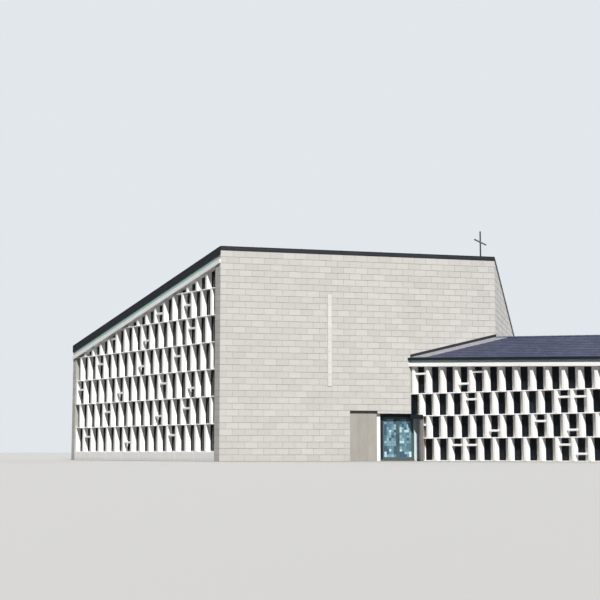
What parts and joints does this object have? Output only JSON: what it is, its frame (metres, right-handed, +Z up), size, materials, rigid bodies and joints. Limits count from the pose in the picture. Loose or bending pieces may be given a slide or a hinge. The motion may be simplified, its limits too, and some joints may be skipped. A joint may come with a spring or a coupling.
{
  "type": "modern church building",
  "caption": "Fan-shaped church nave with one falling roof, a glazed lattice side, a glazed double door and a low lattice-walled wing.",
  "frame": {"origin": "ground level under the middle of the nave floor, 6 m behind the front wall", "axes": "+X along the front wall towards the wing side, +Y away from the front wall, +Z up"},
  "size_m": [30.1488, 21.4072, 12.08],
  "materials": {
    "masonry": "matt pale masonry in courses",
    "white_concrete": "matt white cast concrete",
    "roof_edge_metal": "satin near-black",
    "nave_roofing": "dark slates in courses",
    "wing_roofing": "blue-grey slates in courses",
    "fascia": "satin grey-green",
    "flashing": "dull grey sheet",
    "dark_glazing": "dark and glossy",
    "door_glass": "glossy with blue and pale squares",
    "door_frame_metal": "satin black",
    "door_leaf_metal": "satin grey-blue",
    "entrance_panel": "matt warm grey",
    "grey_green_jamb": "matt grey-green",
    "floor": "matt stone grey",
    "cross_steel": "satin dark steel"
  },
  "bodies": {
    "root": {"back_wall": "masonry", "door_frame": "door_frame_metal", "entrance_head": "door_frame_metal", "entrance_jamb": "grey_green_jamb", "entrance_panel": "entrance_panel", "entrance_post": "grey_green_jamb", "entrance_side_wall": "grey_green_jamb", "entrance_white_pier": "white_concrete", "front_wall_inner_pier": "masonry", "front_wall_left": "masonry", "front_wall_over_entrance": "masonry", "front_wall_right": "masonry", "left_wall_beam": "white_concrete", "left_wall_glass": "dark_glazing", "left_wall_lattice": "white_concrete", "left_wall_plinth": "white_concrete", "left_wall_top_band": "fascia", "nave_floor": "floor", "nave_roof_deck": "nave_roofing", "panel_backing_wall": "masonry", "right_wall": "masonry", "roof_cross": "cross_steel", "roof_edge_back": "roof_edge_metal", "roof_edge_front": "roof_edge_metal", "roof_edge_left": "roof_edge_metal", "roof_edge_right": "roof_edge_metal", "wall_strip": "masonry", "wing_back_beam": "white_concrete", "wing_back_fascia": "fascia", "wing_back_glass": "dark_glazing", "wing_back_gutter": "roof_edge_metal", "wing_back_lattice": "white_concrete", "wing_end_wall": "masonry", "wing_floor": "floor", "wing_front_beam": "white_concrete", "wing_front_fascia": "fascia", "wing_front_glass": "dark_glazing", "wing_front_gutter": "roof_edge_metal", "wing_front_row_1": "white_concrete", "wing_front_row_2": "white_concrete", "wing_front_row_3": "white_concrete", "wing_front_row_4": "white_concrete", "wing_roof_back": "wing_roofing", "wing_roof_flashing": "flashing", "wing_roof_front": "wing_roofing", "wing_roof_upstand": "roof_edge_metal"},
    "door_left": {"door_left_frame": "door_leaf_metal", "door_left_glass": "door_glass"},
    "door_right": {"door_right_frame": "door_leaf_metal", "door_right_glass": "door_glass"}
  },
  "joints": [
    {"name": "door_left_hinge", "type": "hinge", "parent": "root", "child": "door_left", "pos_m": [1.131, -5.71, 0], "axis": [0, 0, 1], "range_deg": [0, 90]},
    {"name": "door_right_hinge", "type": "hinge", "parent": "root", "child": "door_right", "pos_m": [2.719, -5.71, 0], "axis": [0, 0, -1], "range_deg": [0, 90]}
  ]
}
